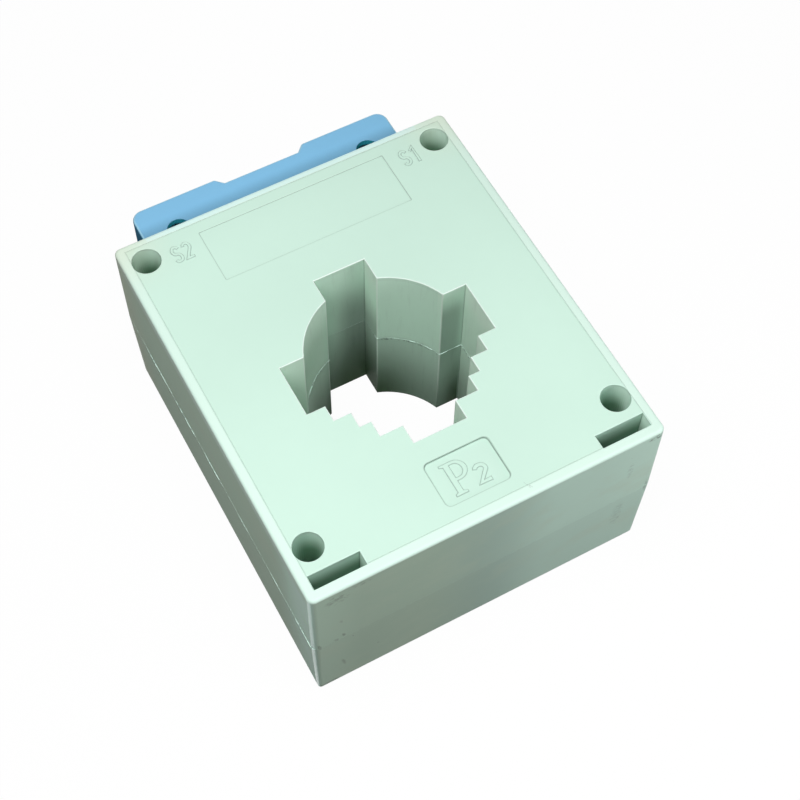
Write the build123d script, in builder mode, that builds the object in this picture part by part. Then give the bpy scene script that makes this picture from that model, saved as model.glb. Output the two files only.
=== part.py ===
from build123d import *
from math import cos, hypot, pi
import os

# Window-type current transformer in a moulded case, in millimetres
# The part lies on its rear face: +Z runs along the window axis and out of the front face,
# +Y points to the terminals, and the origin is where the window axis meets the rear face

# Busbar that the window takes, flat or upright, and the play round it
busbar_width = 40.0
busbar_thickness = 10.0
slot_play_x = 1.4
slot_play_y = 1.6

# Housing: its margins round the slots, its depth and its wall
side_margin = 17.35
base_margin = 20.2
top_margin = 25.8
body_depth = 45.1
wall = 2.0
corner_radius = 1.4
face_round = 0.8
rear_draft = 1.8

# Rest of the window: a round cable bore above the axis and a stair below it
window_wall = 1.5
bore_radius = 16.5
stair_widths = (33.6, 26.2, 21.2)
stair_depths = (9.4, 12.9, 16.5)

# Joint between the two shells
tongue_thickness = 0.9
tongue_height = 1.5
tongue_fit = 0.1

# Assembly screws in the four corner wells
screw_side_inset = 5.0
screw_top_inset = 5.6
screw_base_inset = 10.4
well_radius = 3.0
well_wall = 1.6
well_depth = 18.0
screw_radius = 1.5
screw_length = 14.0
screw_head_radius = 2.7
screw_head_height = 2.0
screw_hole_clearance = 0.15
thread_clearance = 0.02
thread_wall = 2.0
screw_tip_room = 2.0

# Pockets for push-in mounting feet, at both base corners of both faces
foot_pocket_length = 10.7
foot_pocket_width = 2.95
foot_pocket_depth = 10.0
foot_pocket_base_inset = 2.25
foot_pocket_side_inset = 2.15
foot_pocket_wall = 1.5

# Strip-wound core and the layers on it
core_side_gap = 0.9
core_window_gap = 0.2
core_tape_thickness = 0.6
winding_thickness = 1.2
outer_tape_thickness = 0.4
layer_gap = 0.05
wound_sides = 30

# Ribs that carry the wound core
rib_count = 8
rib_thickness = 1.6
rib_height = 2.0
rib_clearance = 0.15
rib_inset = 0.5

# Terminals
terminal_side_inset = 15.75
plinth_height = 1.5
cover_fit = 0.2
bay_wall = 0.9
bay_height = 7.8
bay_length = 21.0
plate_width = 11.8
plate_length = 12.0
plate_thickness = 1.2
plate_outer_reach = 5.0
plate_fit = 0.2
tail_width = 5.0
tail_length = 7.5
terminal_screw_radius = 2.0
terminal_screw_length = 10.0
terminal_head_radius = 3.75
terminal_head_height = 2.6
terminal_head_chamfer = 0.7
drive_slot_width = 1.0
drive_slot_length = 4.4
drive_slot_depth = 1.4
nut_across_flats = 7.0
nut_height = 3.2
nut_fit = 0.1
nut_thread_clearance = 0.05
nut_floor = 2.0
clamp_size = 8.6
clamp_thickness = 0.8
spring_washer_radius = 3.3
spring_washer_thickness = 1.0
spring_washer_split = 0.7
hole_clearance = 0.2

# Leads from the winding to the terminal plates
lead_radius = 0.9
lead_sides = 12
lead_corner_drop = 2.4
lead_bend_radius = 2.4
lead_solder_length = 3.2
lead_slit_clearance = 0.1

# Pull-off terminal cover
cover_side_inset = 7.95
cover_face_inset = 7.55
cover_height = 12.2
cover_wall = 1.5
cover_corner_radius = 2.5
cover_edge_round = 0.6
notch_floor_width = 17.4
notch_mouth_width = 20.8
notch_depth = 1.7
notch_round = 0.7
wire_hole_radius = 2.5
wire_hole_height = 4.0

# Levels and places that follow from the sizes above
flat_slot_length = busbar_width + slot_play_x
flat_slot_width = busbar_thickness + slot_play_y
upright_slot_length = busbar_width + slot_play_y
upright_slot_width = busbar_thickness + slot_play_x
body_width = flat_slot_length + 2 * side_margin
body_height = upright_slot_length + base_margin + top_margin
window_axis_height = upright_slot_length / 2 + base_margin
half_depth = body_depth / 2
base_y = -window_axis_height
top_y = body_height - window_axis_height
centre_y = (base_y + top_y) / 2
inner_width = body_width - 2 * wall
inner_height = body_height - 2 * wall
screw_places = [
    (side * (body_width / 2 - screw_side_inset), y)
    for side in (-1, 1)
    for y in (base_y + screw_base_inset, top_y - screw_top_inset)
]
screw_seat_z = body_depth - well_depth
layers = core_tape_thickness + winding_thickness + outer_tape_thickness + 3 * layer_gap
wound_length = body_depth - 2 * (wall + rib_height + rib_clearance)
wound_outer_radius = min(inner_width / 2, top_y - wall, window_axis_height - wall) - core_side_gap
window_reach = max(
    hypot(flat_slot_length / 2 + window_wall, flat_slot_width / 2 + window_wall),
    hypot(upright_slot_length / 2 + window_wall, upright_slot_width / 2 + window_wall),
)
wound_inner_radius = window_reach + core_window_gap
core_length = wound_length - 2 * layers
core_outer_radius = wound_outer_radius - layers
core_inner_radius = wound_inner_radius / cos(pi / wound_sides) + layers
terminal_x = body_width / 2 - terminal_side_inset
seat_y = top_y + plinth_height
plate_top_y = seat_y + plate_thickness
tail_x = terminal_x + plate_outer_reach - plate_width + plate_thickness / 2
tail_end_y = seat_y - tail_length
lead_x = tail_x - plate_thickness / 2 - lead_radius
lead_corner_y = tail_end_y - lead_corner_drop
cover_length = body_width - 2 * cover_side_inset
cover_depth = body_depth - 2 * cover_face_inset
cover_inner_length = cover_length - 2 * cover_wall
cover_inner_depth = cover_depth - 2 * cover_wall
block_length = cover_inner_length - 2 * cover_fit
block_depth = cover_inner_depth - 2 * cover_fit


def level(y):
    """Plane at height y, looking up at the terminals, centred on the depth of the body."""
    return Plane(origin=(0, y, half_depth), x_dir=(1, 0, 0), z_dir=(0, 1, 0))


# Window outline, shared by both shells
with BuildSketch() as window:
    Circle(bore_radius)
    Rectangle(2 * bore_radius, bore_radius, align=(Align.CENTER, Align.MAX), mode=Mode.SUBTRACT)
    Rectangle(flat_slot_length, flat_slot_width)
    Rectangle(upright_slot_width, upright_slot_length)
    for stair_width, stair_depth in zip(stair_widths, stair_depths):
        Rectangle(stair_width, stair_depth, align=(Align.CENTER, Align.MAX))

# Room that the nuts, terminal screws and plate tails take in the deck, half in each shell
nut_boss_y = seat_y - nut_height - nut_fit - nut_floor
with BuildPart() as terminal_room:
    for side in (-1, 1):
        with BuildSketch(level(seat_y)):
            with Locations((side * terminal_x, 0)):
                RegularPolygon(nut_across_flats / 2 + nut_fit, 6, major_radius=False, rotation=30)
        extrude(amount=-nut_height - nut_fit)
        with BuildSketch(level(seat_y)):
            with Locations((side * terminal_x, 0)):
                Circle(terminal_screw_radius + hole_clearance)
            with Locations((side * tail_x, 0)):
                Rectangle(plate_thickness + 2 * plate_fit, tail_width + 2 * plate_fit)
        extrude(amount=nut_boss_y - seat_y)


def housing_half(face_z, inward, boss_reach, draft):
    """One half of the housing, from its outer face at face_z towards the parting plane."""

    def depth(below_face):
        return Plane.XY.offset(face_z + inward * below_face)

    with BuildPart() as half:
        with BuildSketch(depth(half_depth)):
            with Locations((0, centre_y)):
                RectangleRounded(body_width, body_height, corner_radius)
        extrude(amount=-inward * half_depth, taper=draft)
        outer_face = half.faces().sort_by(Axis.Z)[0 if inward > 0 else -1]
        fillet(outer_face.edges(), radius=face_round)

        # Hollow inside
        with BuildSketch(depth(wall)):
            with Locations((0, centre_y)):
                Rectangle(inner_width, inner_height)
        extrude(amount=inward * (half_depth - wall), mode=Mode.SUBTRACT)

        # Window tube and screw bosses
        with BuildSketch(depth(wall)):
            add(window.sketch)
            offset(amount=window_wall, kind=Kind.INTERSECTION)
            with Locations(*screw_places):
                Rectangle(2 * boss_reach, 2 * boss_reach)
        extrude(amount=inward * (half_depth - wall))

        # Walls of the mounting-foot pockets
        foot_wall_length = foot_pocket_length + foot_pocket_side_inset + foot_pocket_wall - wall / 2
        foot_wall_width = foot_pocket_width + foot_pocket_base_inset + foot_pocket_wall - wall / 2
        with BuildSketch(depth(wall)):
            for side in (-1, 1):
                with Locations((side * (body_width - wall) / 2, base_y + wall / 2)):
                    Rectangle(foot_wall_length, foot_wall_width,
                              align=(Align.MAX if side > 0 else Align.MIN, Align.MIN))
        extrude(amount=inward * (foot_pocket_depth + foot_pocket_wall - wall))

        # Radial ribs under the wound core
        rib_length = wound_outer_radius - wound_inner_radius - 2 * rib_inset
        with BuildSketch(depth(wall)):
            with PolarLocations((wound_inner_radius + wound_outer_radius) / 2, rib_count,
                                start_angle=180 / rib_count):
                Rectangle(rib_length, rib_thickness)
        extrude(amount=inward * rib_height)

        # Terminal block: plinth, nut bosses under the deck and bay walls above it
        with BuildSketch(depth(half_depth - block_depth / 2)):
            with Locations((0, top_y - wall / 2)):
                Rectangle(block_length, plinth_height + wall / 2, align=(Align.CENTER, Align.MIN))
        extrude(amount=inward * block_depth / 2)
        nut_boss_reach = top_y - wall / 2 - nut_boss_y
        with BuildSketch(depth(half_depth - plate_length / 2)):
            with Locations(*[(side * terminal_x, nut_boss_y) for side in (-1, 1)]):
                Rectangle(2 * plate_outer_reach, nut_boss_reach, align=(Align.CENTER, Align.MIN))
        extrude(amount=inward * plate_length / 2)
        partition_x = tail_x - plate_thickness / 2 - plate_fit - bay_wall / 2
        end_wall_x = block_length / 2 - bay_wall / 2
        with BuildSketch(depth(half_depth - bay_length / 2)):
            with Locations(*[(side * x, seat_y) for side in (-1, 1) for x in (partition_x, end_wall_x)]):
                Rectangle(bay_wall, bay_height - plinth_height, align=(Align.CENTER, Align.MIN))
        extrude(amount=inward * bay_length / 2)

        # Openings through the face
        with BuildSketch(depth(0)):
            add(window.sketch)
        extrude(amount=inward * half_depth, mode=Mode.SUBTRACT)
        foot_x = body_width / 2 - foot_pocket_side_inset
        foot_y = base_y + foot_pocket_base_inset
        with BuildSketch(depth(0)):
            for side in (-1, 1):
                with Locations((side * foot_x, foot_y)):
                    Rectangle(foot_pocket_length, foot_pocket_width,
                              align=(Align.MAX if side > 0 else Align.MIN, Align.MIN))
        extrude(amount=inward * foot_pocket_depth, mode=Mode.SUBTRACT)
        add(terminal_room.part, mode=Mode.SUBTRACT)
    return half.part


# Rear shell: thread bosses and the tongue of the joint
with BuildPart() as rear_shell:
    add(housing_half(0, 1, screw_radius + thread_wall, rear_draft))
    with BuildSketch(Plane.XY.offset(half_depth)):
        with Locations((0, centre_y)):
            Rectangle(inner_width + 2 * tongue_thickness, inner_height + 2 * tongue_thickness)
            Rectangle(inner_width, inner_height, mode=Mode.SUBTRACT)
    extrude(amount=tongue_height)
    screw_hole_floor_z = screw_seat_z - screw_length - screw_tip_room
    with BuildSketch(Plane.XY.offset(screw_hole_floor_z)):
        with Locations(*screw_places):
            Circle(screw_radius + thread_clearance)
    extrude(amount=half_depth - screw_hole_floor_z, mode=Mode.SUBTRACT)
    add(terminal_room.part, mode=Mode.SUBTRACT)
rear_shell.part.label = "rear_shell"
export_order = [rear_shell.part]

# Front shell: screw wells and the rebate of the joint
with BuildPart() as front_shell:
    add(housing_half(body_depth, -1, well_radius + well_wall, 0))
    with BuildSketch(Plane.XY.offset(half_depth)):
        with Locations((0, centre_y)):
            Rectangle(inner_width + 2 * (tongue_thickness + tongue_fit),
                      inner_height + 2 * (tongue_thickness + tongue_fit))
            Rectangle(inner_width - 2 * tongue_fit, inner_height - 2 * tongue_fit, mode=Mode.SUBTRACT)
    extrude(amount=tongue_height + tongue_fit, mode=Mode.SUBTRACT)
    with BuildSketch(Plane.XY.offset(screw_seat_z)):
        with Locations(*screw_places):
            Circle(well_radius)
    extrude(amount=well_depth, mode=Mode.SUBTRACT)
    with BuildSketch(Plane.XY.offset(half_depth)):
        with Locations(*screw_places):
            Circle(screw_radius + screw_hole_clearance)
    extrude(amount=screw_seat_z - half_depth, mode=Mode.SUBTRACT)
front_shell.part.label = "front_shell"
export_order.append(front_shell.part)

# Assembly screws, seated at the foot of their wells
with BuildPart() as assembly_screws:
    with BuildSketch(Plane.XY.offset(screw_seat_z)):
        with Locations(*screw_places):
            Circle(screw_head_radius)
    extrude(amount=screw_head_height)
    with BuildSketch(Plane.XY.offset(screw_seat_z - screw_length)):
        with Locations(*screw_places):
            Circle(screw_radius)
    extrude(amount=screw_length)
assembly_screws.part.label = "assembly_screws"
export_order.append(assembly_screws.part)

# Core of wound strip, a ring of flats as the layers on it are
with BuildPart() as core:
    with BuildSketch(Plane.XY.offset(half_depth - core_length / 2)):
        RegularPolygon(core_outer_radius, wound_sides, major_radius=False)
        RegularPolygon(core_inner_radius, wound_sides, mode=Mode.SUBTRACT)
    extrude(amount=core_length)
core.part.label = "core"
export_order.append(core.part)


def wound_layer(inside, thickness):
    """Closed layer of flats round the ring: inside is its distance out from the core's own faces."""
    with BuildPart() as layer:
        for growth, mode in ((inside + thickness, Mode.ADD), (inside, Mode.SUBTRACT)):
            with BuildSketch(Plane.XY.offset(half_depth - core_length / 2 - growth)):
                RegularPolygon(core_outer_radius + growth, wound_sides, major_radius=False)
                RegularPolygon(core_inner_radius - growth, wound_sides, mode=Mode.SUBTRACT)
            extrude(amount=core_length + 2 * growth, mode=mode)
    return layer.part


def lead_way(side):
    """Direction in which a lead leaves the winding, from the window axis to the lead's corner."""
    return Vector(side * lead_x, lead_corner_y, 0).normalized()


core_tape_inside = layer_gap
winding_inside = core_tape_inside + core_tape_thickness + layer_gap
outer_tape_inside = winding_inside + winding_thickness + layer_gap

# Insulating tape on the core
with BuildPart() as core_tape:
    add(wound_layer(core_tape_inside, core_tape_thickness))
core_tape.part.label = "core_tape"
export_order.append(core_tape.part)

# Secondary winding
with BuildPart() as secondary_winding:
    add(wound_layer(winding_inside, winding_thickness))
secondary_winding.part.label = "secondary_winding"
export_order.append(secondary_winding.part)

# Outer tape, with a slit for each lead
with BuildPart() as outer_tape:
    add(wound_layer(outer_tape_inside, outer_tape_thickness))
    for side in (-1, 1):
        slit_origin = lead_way(side) * core_outer_radius + Vector(0, 0, half_depth)
        slit_width = 2 * (lead_radius + lead_slit_clearance)
        with BuildSketch(Plane(origin=slit_origin, z_dir=lead_way(side))):
            Rectangle(slit_width, slit_width)
        extrude(amount=wound_outer_radius - core_outer_radius + lead_radius, mode=Mode.SUBTRACT)
outer_tape.part.label = "outer_tape"
export_order.append(outer_tape.part)


def terminal(name, side):
    """The pieces of one screw terminal, on the side of the window that side gives."""
    screw_x = side * terminal_x
    pieces = []

    # Plate with a hole for the screw and a tail down through the deck
    with BuildPart() as plate:
        with BuildSketch(level(seat_y)):
            with Locations((screw_x + side * plate_outer_reach, 0)):
                Rectangle(plate_width, plate_length,
                          align=(Align.MAX if side > 0 else Align.MIN, Align.CENTER))
            with Locations((screw_x, 0)):
                Circle(terminal_screw_radius + hole_clearance, mode=Mode.SUBTRACT)
        extrude(amount=plate_thickness)
        with BuildSketch(level(plate_top_y)):
            with Locations((side * tail_x, 0)):
                Rectangle(plate_thickness, tail_width)
        extrude(amount=-plate_thickness - tail_length)
    plate.part.label = "terminal_plate_" + name
    pieces.append(plate.part)

    # Nut held in the deck
    with BuildPart() as nut:
        with BuildSketch(level(seat_y)):
            with Locations((screw_x, 0)):
                RegularPolygon(nut_across_flats / 2, 6, major_radius=False, rotation=30)
                Circle(terminal_screw_radius + nut_thread_clearance, mode=Mode.SUBTRACT)
        extrude(amount=-nut_height)
    nut.part.label = "terminal_nut_" + name
    pieces.append(nut.part)

    # Square clamp washer on the plate
    with BuildPart() as clamp:
        with BuildSketch(level(plate_top_y)):
            with Locations((screw_x, 0)):
                Rectangle(clamp_size, clamp_size)
                Circle(terminal_screw_radius + hole_clearance, mode=Mode.SUBTRACT)
        extrude(amount=clamp_thickness)
    clamp.part.label = "terminal_clamp_" + name
    pieces.append(clamp.part)

    # Split spring washer
    clamp_top_y = plate_top_y + clamp_thickness
    with BuildPart() as spring_washer:
        with BuildSketch(level(clamp_top_y)):
            with Locations((screw_x, 0)):
                Circle(spring_washer_radius)
                Circle(terminal_screw_radius + hole_clearance, mode=Mode.SUBTRACT)
                Rectangle(spring_washer_radius, spring_washer_split, rotation=45,
                          align=(Align.MIN, Align.CENTER), mode=Mode.SUBTRACT)
        extrude(amount=spring_washer_thickness)
    spring_washer.part.label = "spring_washer_" + name
    pieces.append(spring_washer.part)

    # Pan-head screw with a cross drive
    head_seat_y = clamp_top_y + spring_washer_thickness
    with BuildPart() as screw:
        with BuildSketch(level(head_seat_y)):
            with Locations((screw_x, 0)):
                Circle(terminal_head_radius)
        extrude(amount=terminal_head_height)
        chamfer(screw.faces().sort_by(Axis.Y)[-1].edges(), length=terminal_head_chamfer)
        with BuildSketch(level(head_seat_y)):
            with Locations((screw_x, 0)):
                Circle(terminal_screw_radius)
        extrude(amount=-terminal_screw_length)
        with BuildSketch(level(head_seat_y + terminal_head_height)):
            with Locations((screw_x, 0)):
                Rectangle(drive_slot_length, drive_slot_width)
                Rectangle(drive_slot_width, drive_slot_length)
        extrude(amount=-drive_slot_depth, mode=Mode.SUBTRACT)
    screw.part.label = "terminal_screw_" + name
    pieces.append(screw.part)

    # Lead, out of the winding and up beside the plate's tail
    winding_reach = (core_outer_radius + winding_inside + winding_thickness) / cos(pi / wound_sides)
    lead_start = lead_way(side) * (winding_reach + layer_gap) + Vector(0, 0, half_depth)
    lead_corner = Vector(side * lead_x, lead_corner_y, half_depth)
    lead_tip = Vector(side * lead_x, tail_end_y + lead_solder_length, half_depth)
    with BuildPart() as lead:
        with BuildLine() as route:
            FilletPolyline(lead_start, lead_corner, lead_tip, radius=lead_bend_radius)
        with BuildSketch(Plane(origin=route.line @ 0, z_dir=route.line % 0)):
            RegularPolygon(lead_radius, lead_sides)
        sweep()
    lead.part.label = "lead_" + name
    pieces.append(lead.part)
    return pieces


for terminal_name, terminal_side in (("s1", 1), ("s2", -1)):
    export_order.extend(terminal(terminal_name, terminal_side))

# Terminal cover: a cap with two ears, a notch between them and a wire hole at each terminal
cover_top_y = top_y + cover_height
with BuildSketch() as cover_profile:
    with BuildLine():
        Polyline(
            (-cover_length / 2, top_y),
            (cover_length / 2, top_y),
            (cover_length / 2, cover_top_y),
            (notch_mouth_width / 2, cover_top_y),
            (notch_floor_width / 2, cover_top_y - notch_depth),
            (-notch_floor_width / 2, cover_top_y - notch_depth),
            (-notch_mouth_width / 2, cover_top_y),
            (-cover_length / 2, cover_top_y),
            close=True,
        )
    make_face()
with BuildPart() as terminal_cover:
    with BuildSketch(Plane.XY.offset(half_depth - cover_depth / 2)) as cover_outline:
        add(cover_profile.sketch)
        ear_corners = cover_outline.vertices().group_by(Axis.Y)[-1].sort_by(Axis.X)
        fillet([ear_corners[0], ear_corners[-1]], radius=cover_corner_radius)
        lip_corners = cover_outline.vertices().group_by(Axis.Y)[-1].sort_by(Axis.X)[1:3]
        fillet(lip_corners, radius=notch_round)
    extrude(amount=cover_depth)
    edge_faces = terminal_cover.faces().filter_by(Axis.Z)
    rounded_edges = edge_faces.edges().filter_by(lambda edge: edge.center().Y > top_y + cover_edge_round)
    fillet(rounded_edges, radius=cover_edge_round)
    with BuildSketch(Plane.XY.offset(half_depth - cover_inner_depth / 2)):
        offset(cover_profile.sketch, amount=-cover_wall, kind=Kind.INTERSECTION)
        with Locations((0, top_y)):
            Rectangle(cover_inner_length, 2 * cover_wall, align=(Align.CENTER, Align.MIN))
    extrude(amount=cover_inner_depth, mode=Mode.SUBTRACT)
    with BuildSketch(Plane.XY.offset(half_depth - cover_depth / 2)):
        with Locations(*[(side * terminal_x, top_y + wire_hole_height) for side in (-1, 1)]):
            Circle(wire_hole_radius)
    extrude(amount=cover_depth, mode=Mode.SUBTRACT)
terminal_cover.part.label = "terminal_cover"
export_order.append(terminal_cover.part)

os.makedirs("parts", exist_ok=True)
for piece in export_order:
    export_step(piece, "parts/" + piece.label + ".step")
    print(piece.label, round(piece.volume), piece.bounding_box().min, piece.bounding_box().max)
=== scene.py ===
import math
from contextlib import contextmanager
from functools import cached_property, reduce

import bmesh
import bpy
import numpy as np
from bpy.props import FloatProperty, FloatVectorProperty, IntProperty, PointerProperty
from mathutils import Euler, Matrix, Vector


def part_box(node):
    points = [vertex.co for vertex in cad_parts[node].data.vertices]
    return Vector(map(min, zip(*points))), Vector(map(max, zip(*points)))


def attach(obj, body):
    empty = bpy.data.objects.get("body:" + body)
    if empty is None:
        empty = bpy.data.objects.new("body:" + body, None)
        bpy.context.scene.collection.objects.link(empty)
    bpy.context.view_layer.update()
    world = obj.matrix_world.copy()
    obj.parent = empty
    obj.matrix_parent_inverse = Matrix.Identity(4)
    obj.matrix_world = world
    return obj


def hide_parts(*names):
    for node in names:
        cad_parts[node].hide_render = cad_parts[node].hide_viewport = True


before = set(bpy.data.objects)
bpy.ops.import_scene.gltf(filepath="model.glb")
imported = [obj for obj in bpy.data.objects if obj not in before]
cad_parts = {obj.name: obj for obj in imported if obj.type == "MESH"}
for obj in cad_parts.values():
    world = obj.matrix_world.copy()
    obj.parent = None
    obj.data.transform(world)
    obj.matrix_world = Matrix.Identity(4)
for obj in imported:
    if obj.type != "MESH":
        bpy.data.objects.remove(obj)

bl_info = {
    "name": "Window Current Transformer",
    "version": (1, 0, 0),
    "blender": (4, 5, 0),
    "location": "3D View > Sidebar > Transformer",
    "description": "Dresses a moulded window-type current transformer and its studio",
    "category": "Object",
}

MM = 0.001
case_low, case_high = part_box("front_shell")
cover_low, cover_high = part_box("terminal_cover")
FACE_Z = case_high.z
PARTING_Z = case_low.z
BASE_Y = case_low.y
TOP_Y = cover_low.y
HALF_WIDTH = case_high.x
TERMINALS = ("s1", "s2")
RISE = np.array([0.0, 0.0, 1.0])
# Pale mint painted onto walls as painted light, where they face the light or lie under a rounded rim
PAINTED_LIGHT_WALL = (0.79, 1.0, 0.88)
FLAT_ANGLE = 35.0

# Places on the front face in millimetres: two corners of the plaque, the rating panel and the hairline
FACE = FACE_Z / MM
PLAQUE = ((-6.8, -35.9), (7.1, -25.8))
PLAQUE_ROUND = 1.2
PLATE = ((-20.9, 29.3), (21.3, 42.3))
PLATE_ROUND = 0.15
HAIRLINE = ((-36.0, -38.7), (36.0, 44.9))

# The window in millimetres: ends of the slots, half their widths, radius of the bore, one side of the stair
SLOT_X, SLOT_Y = 20.7, 20.8
NECK_X, NECK_Y = 5.7, 5.8
BORE = 16.5
STAIR = ((16.8, 5.8), (16.8, 9.4), (13.1, 9.4), (13.1, 12.9),
         (10.6, 12.9), (10.6, 16.5), (5.7, 16.5), (5.7, 20.8))


# Shader helpers

def maths(operation, turned=False):
    """A method of Value that adds one Math node, its two inputs turned round if asked."""
    def method(self, other=0.0):
        pair = (other, self) if turned else (self, other)
        return self.finish.node("Math", dict(enumerate(pair)), operation=operation)
    return method


class Value:
    """A shader socket that adds a Math node when it stands in an expression."""

    def __init__(self, finish, socket):
        self.finish = finish
        self.socket = socket

    __add__ = __radd__ = maths("ADD")
    __sub__ = maths("SUBTRACT")
    __rsub__ = maths("SUBTRACT", turned=True)
    __mul__ = __rmul__ = maths("MULTIPLY")
    __truediv__ = maths("DIVIDE")
    __pow__ = maths("POWER")
    __abs__ = maths("ABSOLUTE")
    sine = maths("SINE")
    fraction = maths("FRACT")
    angle_from = maths("ARCTAN2")
    bigger = maths("MAXIMUM")
    smaller = maths("MINIMUM")

    def over(self, start, end):
        """Smooth step from 0 at start to 1 at end; start may be the larger."""
        sockets = {"Value": self, "From Min": start, "From Max": end}
        if start > end:
            sockets.update({"From Min": end, "From Max": start, "To Min": 1.0, "To Max": 0.0})
        return self.finish.node("MapRange", sockets, interpolation_type="SMOOTHSTEP")


class Finish:
    """A material or world with its colour so far, and the methods that make its nodes."""

    def __init__(self, name, colour=(1.0, 1.0, 1.0), kind=bpy.data.materials):
        self.owner = kind.new(name)
        self.owner.use_nodes = True
        self.tree = self.owner.node_tree
        self.tree.nodes.clear()
        self.tone = tuple(colour)[:3]

    def node(self, kind, inputs=None, output=0, **settings):
        """Adds a shader node, sets it, then fills its sockets with values or links."""
        node = self.tree.nodes.new("ShaderNode" + kind)
        for name, value in settings.items():
            setattr(node, name, value)
        for key, value in (inputs or {}).items():
            if isinstance(value, Value):
                self.tree.links.new(value.socket, node.inputs[key])
            else:
                node.inputs[key].default_value = value
        return Value(self, node.outputs[output])

    def parts(self, value, kind="SeparateXYZ"):
        """The three parts of a vector or a colour."""
        return [Value(self, socket) for socket in self.node(kind, {0: value}).socket.node.outputs]

    @cached_property
    def place(self):
        """The point in object coordinates."""
        return self.node("TexCoord", output="Object")

    @cached_property
    def axes(self):
        """The point's x, y and z in millimetres."""
        return self.parts(self.node("VectorMath", {0: self.place, "Scale": 1 / MM}, operation="SCALE"))

    @cached_property
    def facing(self):
        """The true normal's x, y and z."""
        return self.parts(self.node("NewGeometry", output="True Normal"))

    def noise(self, size_mm, detail=3.0, roughness=0.55, stretch=(1, 1, 1), seed=0.0):
        """Noise from 0 to 1 with features about size_mm wide."""
        spot = self.node("Mapping", {"Vector": self.place, "Location": (seed, seed * 0.7, seed * 1.3),
                                     "Scale": stretch})
        return self.node("TexNoise", {"Vector": spot, "Scale": 1 / (size_mm * MM), "Detail": detail,
                                      "Roughness": roughness})

    def specks(self, cell_mm, radius_mm, share, seed=0.0):
        """Small round dots, one in some of the cells of a Voronoi pattern."""
        spot = self.node("Mapping", {"Vector": self.place, "Location": (seed, seed, seed)})
        sockets = {"Vector": spot, "Scale": 1 / (cell_mm * MM)}
        distance = self.node("TexVoronoi", sockets, "Distance")
        red, green, blue = self.parts(self.node("TexVoronoi", sockets, "Color"), "SeparateColor")
        radius = radius_mm / cell_mm
        size = green * radius + 0.3 * radius
        return (size - distance).over(0.0, 0.3 * radius) * red.over(share, share * 0.9)

    def mix(self, amount, colour):
        """Turns the colour so far into another where amount is 1."""
        first = self.tone if isinstance(self.tone, Value) else (*self.tone, 1.0)
        sockets = {"Factor": amount, 6: first, 7: (*colour, 1.0)}
        self.tone = self.node("Mix", sockets, 2, data_type="RGBA", clamp_factor=True)

    def shade(self, amount, factor):
        """Makes the colour so far darker or lighter by factor where amount is 1."""
        level = 1.0 + amount * (factor - 1.0)
        self.tone = self.node("VectorMath", {0: self.tone, "Scale": level}, operation="SCALE")

    def soft_edges(self, radius_mm):
        """Normal of the surface with its edges rounded off."""
        return self.node("Bevel", {"Radius": radius_mm * MM}, samples=6)

    def hollows(self, distance_mm, samples=6):
        """1 in the open, towards 0 in corners and grooves."""
        return self.node("AmbientOcclusion", {"Distance": distance_mm * MM}, "AO", samples=samples)

    def near_lines(self, places):
        """1 within about 0.1 mm of the upright lines at plus and minus each place's x and y."""
        x, y, z = self.axes
        near = [((abs(x) - at_x) ** 2 + (abs(y) - at_y) ** 2).over(0.08, 0.01) for at_x, at_y in places]
        return reduce(Value.bigger, near)

    def bump(self, height, depth_mm, normal=None):
        """The normal with a height laid on it."""
        sockets = {"Height": height, "Strength": 1.0, "Distance": depth_mm * MM}
        if normal is not None:
            sockets["Normal"] = normal
        return self.node("Bump", sockets)

    def surface(self, roughness, normal, metallic=0.0, **fixed):
        """Joins the colour so far and the other values to a Principled shader and the output."""
        sockets = {"Base Color": self.tone, "Roughness": roughness, "Metallic": metallic, "Normal": normal}
        sockets.update({name.replace("_", " "): value for name, value in fixed.items()})
        return self.end(self.node("BsdfPrincipled", sockets))

    def end(self, shader, kind="ShaderNodeOutputMaterial"):
        """Joins a shader to the output; returns the material or world."""
        output = self.tree.nodes.new(kind)
        self.tree.links.new(shader.socket, output.inputs["Surface"])
        return self.owner


# Shape helpers

def linked(name, data):
    """A new object in the scene."""
    thing = bpy.data.objects.new(name, data)
    bpy.context.scene.collection.objects.link(thing)
    return thing


@contextmanager
def opened(mesh):
    """A mesh opened for edits, written back after them."""
    work = bmesh.new()
    work.from_mesh(mesh)
    yield work
    work.to_mesh(mesh)
    work.free()


def smooth(mesh, angle):
    """Shades a mesh smooth over edges flatter than an angle in degrees."""
    mesh.polygons.foreach_set("use_smooth", np.ones(len(mesh.polygons), dtype=bool))
    mesh.set_sharp_from_angle(angle=math.radians(angle))


def piece_from(name, vertices, faces, smooth_angle=40.0):
    """A mesh object at the origin, its normals outwards, smooth over edges flatter than smooth_angle."""
    mesh = bpy.data.meshes.new(name)
    mesh.from_pydata(np.asarray(vertices).reshape(-1, 3).tolist(), [], [list(face) for face in faces])
    with opened(mesh) as work:
        bmesh.ops.remove_doubles(work, verts=work.verts, dist=1e-8)
        bmesh.ops.recalc_face_normals(work, faces=work.faces)
    smooth(mesh, smooth_angle)
    return linked(name, mesh)


def grid_faces(rows, columns, closed_rows=False):
    """Quads between neighbouring points of a grid whose columns close on themselves, as one index array."""
    row = np.arange(rows if closed_rows else rows - 1)
    row, column = np.meshgrid(row, np.arange(columns), indexing="ij")
    next_row = (row + 1) % rows
    next_column = (column + 1) % columns
    corners = (row * columns + column, next_row * columns + column,
               next_row * columns + next_column, row * columns + next_column)
    return np.stack(corners, axis=-1).reshape(-1, 4)


def carried(path, outward, across, up):
    """A closed profile carried round a closed path.

    Point (i, j) is path[i] + outward[i] * across[i, j] + z * up[i, j]; the profile closes on itself."""
    points = path[:, None, :] + outward[:, None, :] * across[..., None] + RISE * up[..., None]
    return points, grid_faces(len(path), across.shape[1], True)


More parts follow.
